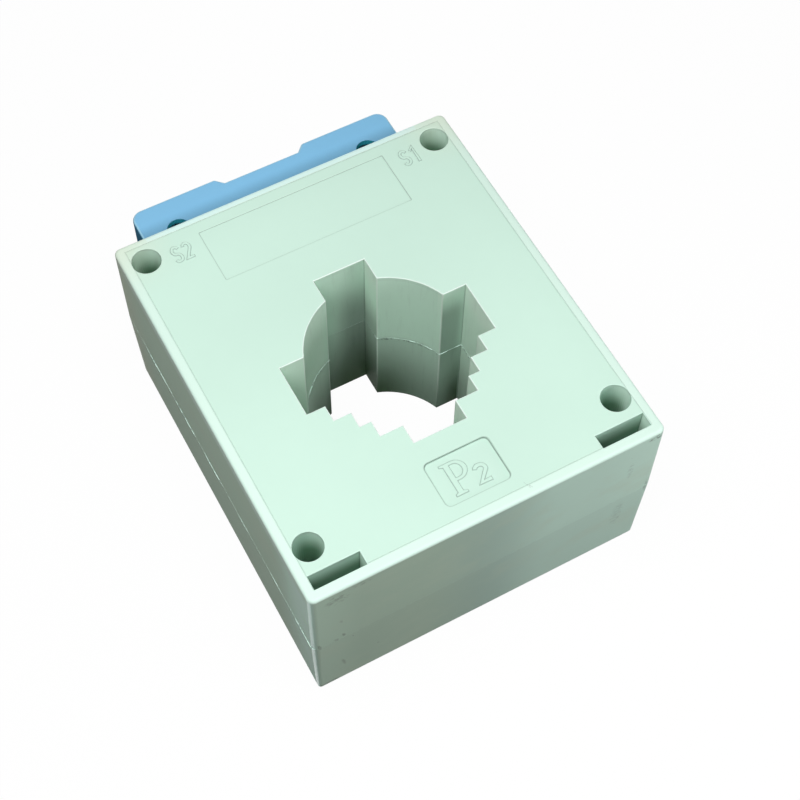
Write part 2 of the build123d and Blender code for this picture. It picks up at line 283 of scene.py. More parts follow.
def dense(corners, spacing):
    """The closed polygon through corners, with points about spacing apart, and its outward normals."""
    corners = np.asarray(corners, dtype=float)
    following = np.roll(corners, -1, axis=0)
    lengths = np.linalg.norm(following - corners, axis=1)
    counts = np.maximum(1, np.round(lengths / spacing)).astype(int)
    which = np.repeat(np.arange(len(corners)), counts)
    share = np.concatenate([np.arange(count) / count for count in counts])
    points = corners[which] + (following - corners)[which] * share[:, None]
    step = np.roll(points, -1, axis=0) - np.roll(points, 1, axis=0)
    normal = np.stack([step[:, 1], -step[:, 0]], axis=1)
    return points, normal / np.linalg.norm(normal, axis=1)[:, None]


def rounded_rectangle(low, high, radius, steps=8):
    """Corners of a rectangle with quarter circles of the radius, anticlockwise."""
    turn = np.linspace(0, math.pi / 2, steps)
    corners = ((high[0], high[1]), (low[0], high[1]), (low[0], low[1]), (high[0], low[1]))
    parts = []
    for quarter, (x, y) in enumerate(corners):
        centre_x = x - math.copysign(radius, x - (low[0] + high[0]) / 2)
        centre_y = y - math.copysign(radius, y - (low[1] + high[1]) / 2)
        angle = turn + quarter * math.pi / 2
        parts.append(np.stack([centre_x + radius * np.cos(angle), centre_y + radius * np.sin(angle)], axis=1))
    return np.concatenate(parts)


def prism(name, outline, low_z, high_z):
    """A straight-sided block over a flat outline, used as a cutter."""
    count = len(outline)
    rings = [np.column_stack([outline, np.full(count, z)]) for z in (low_z, high_z)]
    faces = grid_faces(2, count).tolist()
    faces += [list(range(count))[::-1], list(range(count, 2 * count))]
    return piece_from(name, np.concatenate(rings), faces)


def frame_cutter(name, low, high, width, low_z, high_z):
    """A thin closed strip round a rectangle, width wide, used as a cutter for a hairline."""
    corners = np.array([(high[0], high[1]), (low[0], high[1]), (low[0], low[1]), (high[0], low[1])])
    diagonal = np.array([(1, 1), (-1, 1), (-1, -1), (1, -1)]) / 2
    outside = corners + diagonal * width
    inside = corners - diagonal * width
    rings = [np.column_stack([line, np.full(4, z)])
             for line, z in ((outside, low_z), (outside, high_z), (inside, high_z), (inside, low_z))]
    return piece_from(name, np.stack(rings, axis=1), grid_faces(4, 4, True))


def merged_copy(node, name):
    """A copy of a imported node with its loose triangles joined."""
    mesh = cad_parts[node].data.copy()
    mesh.name = name
    mesh.attributes.remove(mesh.attributes["custom_normal"])
    with opened(mesh) as work:
        bmesh.ops.remove_doubles(work, verts=work.verts, dist=1e-6)
    return linked(name, mesh)


def round_edges(piece, radius, height):
    """Joins flat areas, then rounds the outer edges at a height where faces meet at more than 60 degrees."""
    with opened(piece.data) as work:
        bmesh.ops.dissolve_limit(work, angle_limit=math.radians(0.5), verts=work.verts, edges=work.edges)
        edges = [edge for edge in work.edges if edge.calc_face_angle_signed(0.0) > math.radians(60)
                 and min(vertex.co.z for vertex in edge.verts) > height - 1e-6]
        bmesh.ops.bevel(work, geom=edges, offset=radius, offset_type="OFFSET", segments=2,
                        profile=0.5, affect="EDGES", clamp_overlap=True)


def smooth_over(piece):
    """Shades the piece smooth over its flat angles, with big flats kept flat."""
    smooth(piece.data, FLAT_ANGLE)
    flatten = piece.modifiers.new("flats", "WEIGHTED_NORMAL")
    flatten.weight = 100
    flatten.keep_sharp = True


def shown_mesh(piece):
    """A new mesh of the object as its modifiers or curve settings show it."""
    graph = bpy.context.evaluated_depsgraph_get()
    return bpy.data.meshes.new_from_object(piece.evaluated_get(graph))


def cut_with(piece, cutters):
    """Takes the cutters out of the piece and shades it smooth over its flat angles."""
    for cutter in cutters:
        modifier = piece.modifiers.new("cut", "BOOLEAN")
        modifier.operation = "DIFFERENCE"
        modifier.solver = "EXACT"
        modifier.object = cutter
    mesh = shown_mesh(piece)
    piece.modifiers.clear()
    piece.data = mesh
    for cutter in cutters:
        bpy.data.objects.remove(cutter)
    smooth_over(piece)


def dress(piece, material, body):
    """Gives a new piece its material and body."""
    piece.data.materials.clear()
    piece.data.materials.append(material)
    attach(piece, body)


def finish_nodes(material, *nodes):
    """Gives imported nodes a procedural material."""
    for node in nodes:
        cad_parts[node].material_slots[0].material = material


def window_corners():
    """Outline of the window in millimetres, anticlockwise: two slots, the bore's arcs and the stair."""
    arc = np.linspace(math.asin(NECK_Y / BORE), math.acos(NECK_X / BORE), 25)
    right_arc = np.column_stack([BORE * np.cos(arc), BORE * np.sin(arc)])
    right_top = np.array([(SLOT_X, -NECK_Y), (SLOT_X, NECK_Y)])
    top = np.array([(NECK_X, SLOT_Y), (-NECK_X, SLOT_Y)])
    left_arc = right_arc[::-1] * (-1, 1)
    left = np.array([(-SLOT_X, NECK_Y), (-SLOT_X, -NECK_Y)])
    lower_left = np.array(STAIR) * (-1, -1)
    lower_right = np.array(STAIR[::-1]) * (1, -1)
    return np.concatenate([right_top, right_arc, top, left_arc, left, lower_left, lower_right])


def uneven(count, seed, waves):
    """A smooth random line from 0 to 1 with the given number of waves round a closed path."""
    rng = np.random.default_rng(seed)
    turn = np.linspace(0, 2 * math.pi, count, endpoint=False)
    order = np.arange(1, waves + 1)
    phase = rng.uniform(0, 2 * math.pi, waves)
    size = rng.normal(0, 1, waves)
    line = (np.sin(turn[:, None] * order + phase) * size).sum(axis=1)
    return (line - line.min()) / (line.max() - line.min())


# Sizes and colours a user may change

class CaseSettings(bpy.types.PropertyGroup):
    colour: FloatVectorProperty(
        name="Case colour", description="Pale mint of the moulded case", subtype="COLOR", size=4,
        default=(0.672, 0.915, 0.795, 1.0))
    edge_softness: FloatProperty(
        name="Edge softness", description="Radius of the rims in the front face", unit="LENGTH",
        default=0.00018)
    hairline_width: FloatProperty(
        name="Hairline width", description="Width of the line round the face", unit="LENGTH",
        default=0.00018)
    hairline_depth: FloatProperty(
        name="Hairline depth", description="Depth of the line round the face", unit="LENGTH",
        default=0.00005)


class MarkSettings(bpy.types.PropertyGroup):
    height: FloatProperty(
        name="Mark height", description="How far the terminal marks stand off the face", unit="LENGTH",
        default=0.00015)
    plaque_depth: FloatProperty(
        name="Plaque depth", description="Depth of the panel behind the side mark", unit="LENGTH",
        default=0.0004)
    plate_depth: FloatProperty(
        name="Plate depth", description="Depth of the bare rating panel", unit="LENGTH", default=0.00006)


class JointSettings(bpy.types.PropertyGroup):
    width: FloatProperty(
        name="Flash width", description="How far the moulding flash stands out at the joint", unit="LENGTH",
        default=0.00016)
    seed: IntProperty(
        name="Flash seed", description="Seed of the flash's uneven line", default=7)


class CoverSettings(bpy.types.PropertyGroup):
    colour: FloatVectorProperty(
        name="Cover colour", description="Sky blue of the terminal cover", subtype="COLOR", size=4,
        default=(0.272, 0.605, 0.905, 1.0))
    edge_softness: FloatProperty(
        name="Cover edge softness", description="Radius of the edges at the front", unit="LENGTH",
        default=0.0003)


class MetalSettings(bpy.types.PropertyGroup):
    brass: FloatVectorProperty(
        name="Brass", description="Colour of the plates and nuts", subtype="COLOR", size=4,
        default=(0.80, 0.58, 0.24, 1.0))
    zinc: FloatVectorProperty(
        name="Zinc", description="Colour of the screws, clamps and washers", subtype="COLOR", size=4,
        default=(0.66, 0.67, 0.66, 1.0))
    copper: FloatVectorProperty(
        name="Enamelled copper", description="Colour of the winding", subtype="COLOR", size=4,
        default=(0.58, 0.20, 0.075, 1.0))
    thread_pitch: FloatProperty(
        name="Thread pitch", description="Pitch of the terminal screws", unit="LENGTH", default=0.0007)


class StudioSettings(bpy.types.PropertyGroup):
    fill: FloatProperty(
        name="Fill", description="Level of the light from all round", subtype="FACTOR", default=0.13)
    softbox: FloatProperty(
        name="Softbox power", description="Power of the light overhead", unit="POWER", default=0.71)
    side_power: FloatProperty(
        name="Side light power", description="Power of the light at the near right", unit="POWER",
        default=0.13)
    back_power: FloatProperty(
        name="Back light power", description="Power of the low light behind", unit="POWER", default=0.20)
    floor_grey: FloatProperty(
        name="Floor grey", description="How much light the floor throws back", subtype="FACTOR",
        default=0.04)
    lens: FloatProperty(
        name="Lens", description="Focal length of the camera in millimetres", unit="CAMERA", default=74.38)


# Finishes

def moulded_plastic(name, colour, level=1.0, sides=1.0):
    """Satin moulded plastic: faint clouding, fine grain, specks and soft edges; on the case also painted
    light and shade:
    a darker lower left face, a base wall darker to the left and lighter at its right end, a lighter front end
    and top band on the left wall, painted highlights on the rim and edges, and painted shade down the window,
    wells and creases; then a warmer tint at the terminal-end corners, grime and light scuffs. The sloping
    sides of a mark get painted shade, darker by the factor sides. level scales the colour; the rear shell's
    copy is darker by it, a painted shade."""
    finish = Finish(name, [part * level for part in colour])
    x, y, z = finish.axes
    to_x, to_y, to_z = finish.facing
    finish.shade(finish.noise(22, 2.0), 0.965)
    finish.shade(finish.noise(3.5, 4.0, 0.6, seed=3.1), 0.98)
    top = z.over(FACE - 1.2, FACE - 0.9)
    # Painted shade: the face darker towards its lower left and its bottom edge
    finish.shade(top * y.over(38, 12) * x.over(34, 4), 0.94)
    finish.shade(top * y.over(-14, -30), 0.985)
    near = to_y.over(-0.8, -0.98) * y.over(-39, -39.8)
    # Painted shade on the left half of the base wall, and painted light at its right end
    finish.shade(near * x.over(16, 2), 0.88)
    finish.shade(near * x.over(14, -4) * x.over(-37, -26), 0.85)
    finish.shade(near * x.over(24, 38) * z.over(10, 30), 1.06)
    left = to_x.over(-0.8, -0.98) * x.over(-30, -33)
    # Painted light on the left wall: lighter at its front end, with a pale band under the rounded top rim
    finish.shade(left * y.over(-24, -38), 1.3)
    finish.mix(left * z.over(40.8, 43.6), PAINTED_LIGHT_WALL)
    finish.mix(left * y.over(-36, -24) * z.over(43.5, 41) * 0.35, (0.52, 0.66, 0.42))
    finish.mix(near * x.over(4, -16) * 0.22, (0.66, 0.78, 0.50))
    grime = finish.noise(14, 3.0, 0.6, stretch=(1, 1, 1.6), seed=7.7).over(0.45, 0.75)
    finish.mix(near.bigger(left) * grime * 0.3, (0.62, 0.74, 0.60))
    finish.shade(finish.specks(5.0, 0.17, 0.22), 0.6)
    case_highlights_and_yellowing(finish)
    case_hollows_painted_light(finish)
    case_scuffs(finish)
    panel_edges(finish)
    # Painted shade in creases and grooves, such as round the feet of the marks
    finish.shade(finish.hollows(0.35, 8).over(0.95, 0.5), 0.66)
    # Painted shade on the sloping sides of a mark
    if sides < 1.0:
        finish.shade(to_z.over(0.9, 0.8), sides)
    rough = 0.5 + finish.noise(1.2, 3.0) * 0.1
    normal = finish.bump(finish.noise(9.0, 1.0, seed=8.2), 0.02, finish.soft_edges(0.2))
    normal = finish.bump(finish.noise(0.32, 3.0, 0.6), 0.0035, normal)
    return finish.surface(rough, normal, Specular_IOR_Level=0.06, Coat_Weight=corner_gloss_and_highlight(finish),
                          Coat_Roughness=0.22, Coat_IOR=1.8)


def corner_gloss_and_highlight(finish):
    """1 along the side halves of the case's four upright corners, where the coat is glossier and a painted
    highlight pales the colour.
    """
    x, y, z = finish.axes
    middle_y, half_y = (TOP_Y + BASE_Y) / 2 / MM, (TOP_Y - BASE_Y) / 2 / MM
    across = abs((abs(x) - HALF_WIDTH / MM) - (abs(y - middle_y) - half_y) - 0.6)
    return across.over(0.85, 0.25) * abs(x).over(36.4, 36.7) * z.over(44.6, 44.2)


def case_highlights_and_yellowing(finish):
    """Painted highlights: a paler rim outside the hairline, pale rounded edges, palest round the window, pale
    upright corners and a pale line by the cover; and yellowed corners at the terminal end."""
    x, y, z = finish.axes
    to_z = finish.facing[2]
    face = z.over(FACE - 1.0, FACE - 0.7)
    side = abs(x)
    (line_left, line_base), (line_right, line_top) = HAIRLINE
    rim = side.over(line_right, line_right + 0.15).bigger(y.over(line_top - 0.05, line_top + 0.1))
    rim = rim.bigger(y.over(line_base + 0.05, line_base - 0.1))
    # Painted sheen on the rim outside the hairline, and painted highlights on the rounded edges, palest round
    # the window
    finish.mix(rim * face * 0.5, (0.80, 0.98, 0.90))
    rounded = to_z.over(0.15, 0.5) * to_z.over(0.995, 0.9) * face
    finish.mix(rounded * 0.5, (0.76, 1.0, 0.90))
    finish.mix(rounded * side.over(22, 21.5) * y.over(-22, -21.5), (0.88, 1.0, 0.95))
    # Painted highlight along the upright corners
    finish.mix(corner_gloss_and_highlight(finish), (0.60, 1.0, 0.86))
    # Painted highlight on the rounded rim by the cover
    by_cover = face * side.over(31.2, 30.8)
    finish.mix(by_cover * y.over(45, 45.3) * y.over(45.95, 45.75) * 0.7, (0.76, 1.0, 0.98))
    finish.mix(by_cover * y.over(45.85, 46), (0.74, 1.0, 0.98))
    finish.mix(side.over(24, 39) * y.over(32, 48) * 0.5, (0.78, 0.82, 0.64))


def panel_edges(finish):
    """Soft shadow lines in the edges of the rating panel and of the plaque, widest on the right."""
    x, y, z = finish.axes
    top = z.over(FACE - 0.6, FACE - 0.5)
    for (low, high), radius, thin, factor in ((PLATE, PLATE_ROUND, 0.02, 0.78),
                                              (PLAQUE, PLAQUE_ROUND, 0.07, 0.80)):
        half_x, half_y = (high[0] - low[0]) / 2, (high[1] - low[1]) / 2
        across, along = x - (low[0] + half_x), y - (low[1] + half_y)
        out_x, out_y = abs(across) - (half_x - radius), abs(along) - (half_y - radius)
        corner = (out_x.bigger(0.0) ** 2 + out_y.bigger(0.0) ** 2) ** 0.5
        distance = abs(corner + out_x.bigger(out_y).smaller(0.0) - radius)
        right = across.over(half_x - 1.2, half_x - 0.2)
        left = across.over(1.0 - half_x, 0.5 - half_x)
        reach = thin + right * 0.07 + left * 0.04 + along.over(0, 3) * (thin * 0.5)
        finish.shade((reach - distance).over(-0.05, 0.02) * top, factor)


def case_hollows_painted_light(finish):
    """Painted light and shade in the wells and pockets: paler where they face -X, darker with depth and a
    painted shadow round their rims; then the window's walls.
    """
    x, y, z = finish.axes
    to_x, to_y, to_z = finish.facing
    upright = to_z.over(0.3, 0.1)
    inner = abs(x).over(21.3, 21) * abs(y).over(21.3, 21) * upright
    pits = (1 - inner) * upright * z.over(24.5, 26)
    pits = pits * abs(x).over(37.3, 37.1) * y.over(-40.3, -40.1) * y.over(45.8, 45.6)
    lit = to_x.over(-0.1, -0.95)
    # Painted light on the walls of the wells and pockets that face -X
    finish.mix(pits * lit * 0.85, PAINTED_LIGHT_WALL)
    # Painted shade, darker with depth and most on the walls that face towards the base and the left
    facing_base_left = to_x * -0.49 + to_y * -0.87
    depth = z.over(FACE - 0.4, FACE - 8.0) * (0.12 + facing_base_left.over(0.25, 1.0) * 0.73)
    pocket = y.over(-34, -34.8) * z.over(44.6, 39.2) * (0.78 - lit * 0.4)
    finish.mix(pits * depth.bigger(pocket), (0.06, 0.18, 0.085))
    # Painted shadow round the rims of the wells and pockets
    finish.shade(pits * z.over(44.3, 44.9), 0.78)
    window_walls(finish, inner)


def window_walls(finish, inner):
    """Walls of the window with painted light and shade: paler where they face -X and near the top, a greener
    tint for bounced light, painted shade into the slots' corners, below the joint and dull green towards the
    foot, streaks down them, a painted shadow broken into nicks under the joint's lip, and painted highlights
    on the upright edges."""
    x, y, z = finish.axes
    to_x, to_y, to_z = finish.facing
    left_facing = inner * to_x.over(-0.9, -0.98)
    near_facing = inner * to_y.over(-0.9, -0.98)
    slot_end = near_facing * y.over(19, 20)
    slot_side = near_facing * x.over(14, 15.3) * x.over(22.6, 18.4)
    slot_right = x.over(20.3, 20.6)
    top_side = left_facing * y.over(14.5, 15.3)
    # Painted light on walls that face -X, on the left arc and near the top
    finish.mix(left_facing * 0.85, PAINTED_LIGHT_WALL)
    finish.mix(inner * x.over(-5, -8) * 0.7, PAINTED_LIGHT_WALL)
    finish.mix(left_facing * z.over(36, 43), (0.84, 1.0, 0.91))
    # A greener tint standing in for light bounced between the window's walls
    finish.mix(inner * 0.25, (0.66, 0.86, 0.66))
    # Painted shade into the slots' corners and along their sides
    finish.shade(slot_end * x.over(-3.5, 3) * z.over(44, 27), 0.45)
    finish.shade(slot_side * z.over(43.5, 36) * z.over(6, 24), 0.54)
    finish.shade(top_side * z.over(37, 24), 0.6)
    # Painted shade below the joint and dull green towards the foot, eased where more light reaches
    eased = (x.over(6, 15) * (1 - near_facing) * 0.40).bigger(slot_right * 0.45)
    eased = eased.bigger(slot_side * x.over(19.5, 15.5) * 0.35)
    eased = eased.bigger(x.over(-5, -8) * 0.25).bigger(slot_end * x.over(1, -3) * 0.2)
    strength = inner * (1 - eased)
    even = (slot_end * 0.8).bigger(top_side).bigger(slot_side * 0.9).bigger(slot_right)
    finish.shade(strength * z.over(23.4, 22.4) * (1 - even), 0.76)
    finish.mix(strength * z.over(25, 0), (0.05, 0.10, 0.048))
    streaks = finish.noise(0.9, 3.0, 0.6, stretch=(1, 1, 0.12), seed=2.2)
    finish.shade(inner * streaks.over(0.5, 0.8), 0.93)
    # Painted shadow under the joint's lip, broken up by noise
    nicks = finish.noise(1.4, 4.0, 0.7, seed=6.1).over(0.5, 0.62)
    under = inner * (1 - slot_end * 0.9) * z.over(21.6, 22) * z.over(22.7, 22.5)
    finish.shade(under * nicks, 0.45)
    # Painted highlights on the window's upright convex edges
    bore_ends = ((math.sqrt(BORE ** 2 - NECK_Y ** 2), NECK_Y), (NECK_X, math.sqrt(BORE ** 2 - NECK_X ** 2)))
    edges = finish.near_lines(bore_ends).bigger(finish.near_lines(STAIR[::2]) * y.over(0, -2))
    finish.mix(edges * inner * z.over(0, 20) * 0.5, (0.92, 1.0, 0.94))


def case_scuffs(finish):
    """Handling marks: grey rubs and small spots on the base wall and a scratch on the face; the base wall is
    also darker along its lower edge. Each rub or spot has its x, its z, half its width, half its height and
    its factor."""
    x, y, z = finish.axes
    wall = y.over(BASE_Y / MM + 1.4, BASE_Y / MM + 0.9)
    rubbed = finish.noise(0.45, 3.0, 0.6, stretch=(0.5, 1, 1), seed=1.9).over(0.45, 0.62)
    rubs = ((-32.6, 41.4, 2.6, 2.0, 0.74), (-28.0, 43.4, 3.0, 0.8, 0.8), (36.2, 43.6, 2.2, 0.9, 0.5),
            (31.5, 34.0, 0.7, 3.2, 0.82), (31.0, 15.0, 1.4, 6.0, 0.84), (36.8, 23.5, 0.7, 3.0, 0.68))
    broken = finish.noise(0.35, 3.0, 0.7, seed=3.3).over(0.32, 0.6)
    spots = ((-31.6, 23.9, 0.4, 0.8, 0.58), (-33.2, 23.0, 0.5, 0.7, 0.7), (-36.8, 23.2, 0.4, 1.3, 0.58),
             (-31.7, 9.0, 0.4, 2.0, 0.7), (-32.0, 30.6, 0.4, 0.7, 0.8), (-35.0, 1.0, 2.4, 0.8, 0.6))
    for rows, pattern, lean, core in ((rubs, rubbed, 0.0, 0.3), (spots, broken, 0.2, 0.1)):
        for at_x, at_z, wide, tall, factor in rows:
            spread = ((x - at_x + (z - at_z) * lean) / wide) ** 2 + ((z - at_z) / tall) ** 2
            finish.shade(wall * spread.over(1.3, core) * pattern, factor)
    finish.shade(wall * z.over(0.7, 0.2) * x.over(12, 24), 0.55)
    along = y - HAIRLINE[0][1]
    wander = (finish.noise(0.8, 2.0, seed=4.4) - 0.5) * 1.6
    scratch = abs(x - 8.7 + along * 0.3 + wander).over(0.09, 0.03) * abs(along).over(1.0, 0.7)
    finish.shade(scratch * z.over(FACE - 0.6, FACE - 0.4), 0.78)


def flash_plastic(name, colour):
    """The thin lip of plastic squeezed out at the joint: paler as a painted highlight, with dark nicks along
    it.
    """
    # Paler than the case: a painted highlight on the lip
    finish = Finish(name, [min(1.0, part * 1.15) for part in colour])
    nick = finish.noise(0.9, 4.0, 0.7, seed=2.4).over(0.50, 0.60)
    finish.shade(nick, 0.4)
    return finish.surface(0.4 + nick * 0.2, finish.bump(finish.noise(0.4), 0.02))


def cover_plastic(name, colour):
    """Smooth blue plastic: a faint flow and specks, painted highlights on rounded edges, and painted shade
    near the case, on the end walls, in hollows and as dark teal in the wire holes.
    """
    finish = Finish(name, colour)
    x, y, z = finish.axes
    to_x, to_y, to_z = finish.facing
    finish.shade(finish.noise(14, 2.0, 0.5, stretch=(0.5, 1.4, 1)), 0.95)
    finish.shade(finish.specks(7.0, 0.2, 0.12, seed=4.0), 0.8)
    # Painted shade: darker towards the case, whose step shades it
    finish.shade(y.over(55, 51.6), 0.76)
    # Painted highlight on the rounded edges
    finish.mix(to_z.over(0.2, 0.5) * to_z.over(0.99, 0.9) * 0.6, (0.50, 0.85, 1.0))
    # Painted shade on the end walls
    finish.mix(abs(to_x).over(0.7, 0.95) * 0.85, (0.06, 0.26, 0.45))
    # Painted shade in hollows
    finish.mix(finish.hollows(1.6, 8).over(0.75, 0.2), (0.015, 0.16, 0.22))
    # Painted shade: a dark teal inside the wire holes
    hole_x, hole_y, round_hole = 22.3, 50.6, (9.5, 7.5)
    hole = ((abs(x) - hole_x) ** 2 + (y - hole_y) ** 2).over(*round_hole) * z.over(37.5, 37.3)
    finish.mix(hole, (0.03, 0.32, 0.42))
    rough = 0.4 + finish.noise(1.5) * 0.08
    normal = finish.bump(finish.noise(8.0, 1.0), 0.015, finish.soft_edges(0.2))
    normal = finish.bump(finish.noise(0.3, 3.0), 0.002, normal)
    return finish.surface(rough, normal, Specular_IOR_Level=0.0)


def turned_metal(name, colour, roughness):
    """Plated or bare metal with fine tool lines, a cloudy tarnish, soft edges and painted shade in its
    corners.
    """
    finish = Finish(name, colour)
    lines = finish.noise(0.25, 4.0, 0.65, stretch=(1, 6, 1))
    tarnish = finish.noise(2.5, 4.0, 0.6, seed=1.7)
    finish.shade(tarnish.over(0.35, 0.75), 0.82)
    # Painted shade in corners and grooves
    finish.shade(1 - finish.hollows(0.6).over(0.3, 0.95), 0.55)
    normal = finish.bump(lines, 0.004, finish.soft_edges(0.08))
    return finish.surface(roughness + tarnish * 0.16, normal, metallic=1.0)


def wound_wire(name, colour):
    """Enamelled wire laid round the ring's section: ridges that run out from the window's axis."""
    finish = Finish(name, colour)
    x, y, z = finish.axes
    turns = 260
    ridge = abs((y.angle_from(x) * (turns / 2)).sine())
    finish.shade(1 - ridge, 0.45)
    finish.shade(finish.noise(4.0), 0.85)
    return finish.surface(0.3, finish.bump(ridge, 0.25), metallic=0.6, Coat_Weight=0.5)


def film_tape(name, colour):
    """Overlapping turns of thin film tape round the ring's section."""
    finish = Finish(name, colour)
    x, y, z = finish.axes
    lap = (y.angle_from(x) * 7.0).fraction()
    finish.shade(lap.over(0.9, 1.0), 0.7)
    finish.shade(finish.noise(5.0), 0.9)
    return finish.surface(0.35, finish.bump(lap, 0.08))


def strip_steel(name):
    """Edges of the wound steel strip: rings round the window's axis, 0.3 mm apart."""
    finish = Finish(name, (0.34, 0.35, 0.37))
    x, y, z = finish.axes
    layers = abs(((x * x + y * y) ** 0.5 * (math.pi / 0.3)).sine())
    finish.shade(1 - layers, 0.6)
    return finish.surface(0.42, finish.bump(layers, 0.03), metallic=1.0)


def wire_sleeve(name):
    """Black sleeving with a faint grain."""
    finish = Finish(name, (0.03, 0.03, 0.032))
    finish.shade(finish.noise(1.5), 0.7)
    return finish.surface(0.5, finish.bump(finish.noise(0.3), 0.01))


# Pieces

class TRANSFORMER_OT_case(bpy.types.Operator):
    """Make the two shells with their hairline, panel and plaque"""
    bl_idname = "transformer.case"
    bl_label = "Case"

    def execute(self, context):
        settings = context.scene.transformer_case
        marks = context.scene.transformer_marks
        material = moulded_plastic("case_plastic_satin", settings.colour)
        # The rear shell gets a darker copy of the plastic: painted shade where its drafted walls turn from
        # the light
        rear_shaded_material = moulded_plastic("case_plastic_rear_shaded", settings.colour, 0.95)
        above = FACE_Z + 0.5 * MM
        front = merged_copy("front_shell", "case_front")
        round_edges(front, settings.edge_softness, FACE_Z)
        plaque = rounded_rectangle(*np.array(PLAQUE) * MM, PLAQUE_ROUND * MM)
        plate = rounded_rectangle(*np.array(PLATE) * MM, PLATE_ROUND * MM, 3)
        cut_with(front, [
            prism("plaque_cutter", plaque, FACE_Z - marks.plaque_depth, above),
            prism("plate_cutter", plate, FACE_Z - marks.plate_depth, above),
            frame_cutter("hairline_cutter", *np.array(HAIRLINE) * MM, settings.hairline_width,
                         FACE_Z - settings.hairline_depth, above),
        ])
        dress(front, material, "housing")
        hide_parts("front_shell")
        finish_nodes(rear_shaded_material, "rear_shell")
        return {"FINISHED"}


def stroke(points, width):
    """Outline of a stroke: the centre line moved half the width to each side along its mitred normal."""
    points = np.asarray(points, dtype=float)
    step = np.diff(points, axis=0)
    step /= np.linalg.norm(step, axis=1)[:, None]
    before = np.concatenate([step[:1], step])
    after = np.concatenate([step, step[-1:]])
    normal = np.stack([-(before + after)[:, 1], (before + after)[:, 0]], axis=1)
    normal /= np.linalg.norm(normal, axis=1)[:, None]
    flat = np.stack([-before[:, 1], before[:, 0]], axis=1)
    normal /= np.maximum(0.5, (normal * flat).sum(axis=1))[:, None]
    side = normal * width / 2
    return np.concatenate([points + side, (points - side)[::-1]])


def ellipse_arc(centre, radii, start, end):
    """Twenty points on an ellipse between two angles in degrees."""
    angle = np.radians(np.linspace(start, end, 20))
    return np.column_stack([centre[0] + radii[0] * np.cos(angle), centre[1] + radii[1] * np.sin(angle)])


def letter_s(width, height, weight):
    """Two half ellipses, the upper turning left and the lower turning right."""
    reach, rise = (width - weight) / 2, (height - weight) / 4
    upper = ellipse_arc((0, rise), (reach, rise), 20, 270)
    lower = ellipse_arc((0, -rise), (reach, rise), 90, -160)
    return [stroke(np.concatenate([upper, lower[1:]]), weight)]


def figure_two(width, height, weight):
    """An arch over the right, a slant to the lower left, and a flat foot."""
    reach, rise = (width - weight) / 2, (height - weight) / 2
    arch_rise = rise * 0.52
    arch = ellipse_arc((0, rise - arch_rise), (reach, arch_rise), 165, -25)
    foot = np.array([(-reach, -rise), (reach + weight * 0.1, -rise)])
    return [stroke(np.concatenate([arch, foot]), weight)]


def figure_one(width, height, weight):
    """A short flag and an upright."""
    rise = height / 2
    stem = width * 0.1
    upright = np.array([(-width * 0.42, rise * 0.52), (stem, rise - weight * 0.3), (stem, -rise)])
    return [stroke(upright, weight)]


def letter_p(width, height):
    """A stem on a foot, and a bowl with its counter: the outer outline and the inner one."""
    left, low, high = -width / 2, -height / 2, height / 2
    stem_left, stem_right = left + width * 0.14, left + width * 0.40
    foot_left, foot_right = left + width * 0.02, stem_right + width * 0.16
    serif, bracket = height * 0.075, height * 0.11
    bowl_low = high - height * 0.60
    centre_x = left + width * 0.52
    bowl = ellipse_arc((centre_x, (high + bowl_low) / 2), (width * 0.48, (high - bowl_low) / 2), 90, -90)
    outer = [(left, high), (left, high - serif), (stem_left, high - bracket), (stem_left, low + bracket),
             (foot_left, low + serif), (foot_left, low), (foot_right, low), (foot_right, low + serif),
             (stem_right, low + bracket), (stem_right, bowl_low)]
    outer = np.concatenate([outer, bowl[::-1]])
    counter_low, counter_high = bowl_low + bracket, high - bracket
    counter = ellipse_arc((centre_x, (counter_high + counter_low) / 2),
                          (width * 0.26, (counter_high - counter_low) / 2), 90, -90)
    counter = np.concatenate([[(stem_right, counter_high)], counter, [(stem_right, counter_low)]])
    return [outer, counter]


def raised_mark(name, outlines, centre, floor_z, height):
    """A mark moulded on a face: its flat outlines filled, with sides that slope at 45 degrees."""
    root = 0.02 * MM
    curve = bpy.data.curves.new(name, "CURVE")
    curve.dimensions = "2D"
    curve.fill_mode = "BOTH"
    curve.extrude = root
    curve.bevel_depth = height
    curve.bevel_resolution = 0
    curve.offset = -height
    for outline in outlines:
        spline = curve.splines.new("POLY")
        spline.points.add(len(outline) - 1)
        flat = np.column_stack([outline * MM + centre, np.zeros(len(outline)), np.ones(len(outline))])
        spline.points.foreach_set("co", flat.ravel())
        spline.use_cyclic_u = True
    holder = linked(name + "_outline", curve)
    bpy.context.view_layer.update()
    mesh = shown_mesh(holder)
    bpy.data.objects.remove(holder)
    points = np.empty(len(mesh.vertices) * 3)
    mesh.vertices.foreach_get("co", points)
    points = points.reshape(-1, 3) + (0, 0, floor_z - root)
    return piece_from(name, points, [face.vertices for face in mesh.polygons], 30.0)


